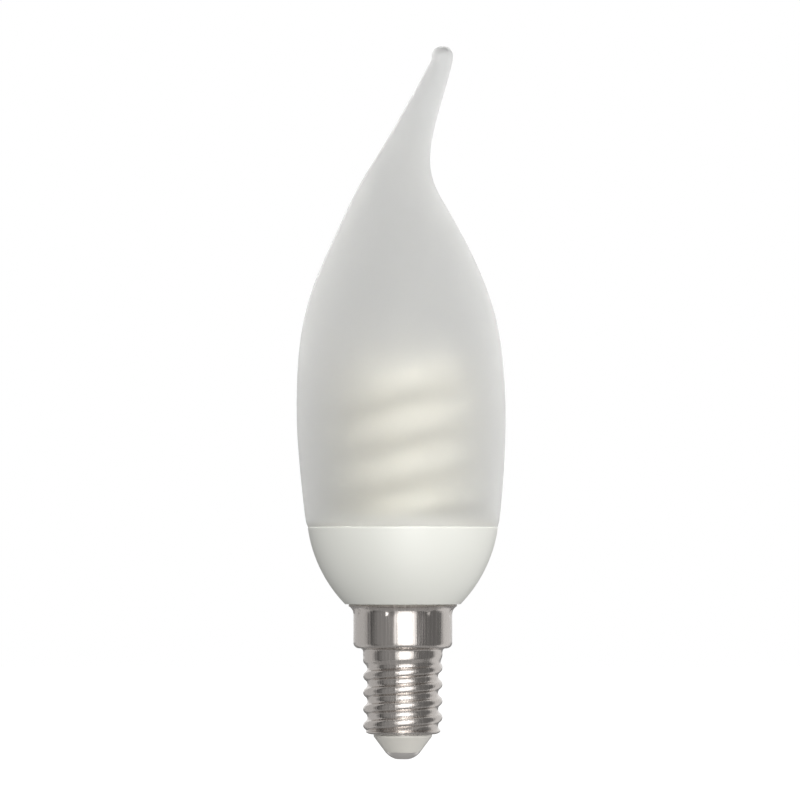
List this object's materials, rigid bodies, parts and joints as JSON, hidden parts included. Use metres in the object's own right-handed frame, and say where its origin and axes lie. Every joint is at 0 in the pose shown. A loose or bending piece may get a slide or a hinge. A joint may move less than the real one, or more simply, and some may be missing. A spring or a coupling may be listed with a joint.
{
  "type": "candle compact fluorescent lamp",
  "caption": "Candle-shaped energy-saving lamp: frosted glass bulb with a bent tip over a spiral tube, white plastic cup and a small screw cap.",
  "frame": {"origin": "on the lamp's axis, at the flat of the centre contact, its lowest point", "axes": "+Z along the axis from the cap towards the glass tip, +X towards the side that the tip bends to, -Y towards the picture's camera"},
  "size_m": [0.0359, 0.0359, 0.1225],
  "materials": {
    "frosted_glass": "frosted",
    "tube_phosphor": "matt white glass coated inside",
    "white_plastic": "satin",
    "cement": "matt",
    "nickel": "bright nickel plate",
    "circuit_laminate": "matt",
    "ferrite": "matt",
    "copper_wire": "enamelled",
    "tinned_wire": "bright",
    "black_sleeve": "satin",
    "red_resin": "gloss",
    "beige_resin": "matt",
    "lead_sleeve": "matt"
  },
  "bodies": {
    "root": {"glass_envelope": "frosted_glass", "discharge_tube": "tube_phosphor", "tube_holder": "white_plastic", "envelope_cement": "cement", "ballast_housing": "white_plastic", "screw_shell": "nickel", "cap_insulator": "white_plastic", "centre_contact": "nickel", "circuit_board": "circuit_laminate", "wrap_pins": "tinned_wire", "filament_leads": "tinned_wire", "choke_core": "ferrite", "choke_winding": "copper_wire", "storage_capacitor": "black_sleeve", "resonance_capacitor": "red_resin", "drive_ring": "ferrite", "drive_windings": "copper_wire", "switching_transistors": "black_sleeve", "bridge_diodes": "black_sleeve", "board_resistors": "beige_resin", "trigger_diode": "beige_resin", "fusible_resistor": "beige_resin", "contact_lead": "lead_sleeve", "shell_lead": "lead_sleeve"}
  },
  "joints": []
}
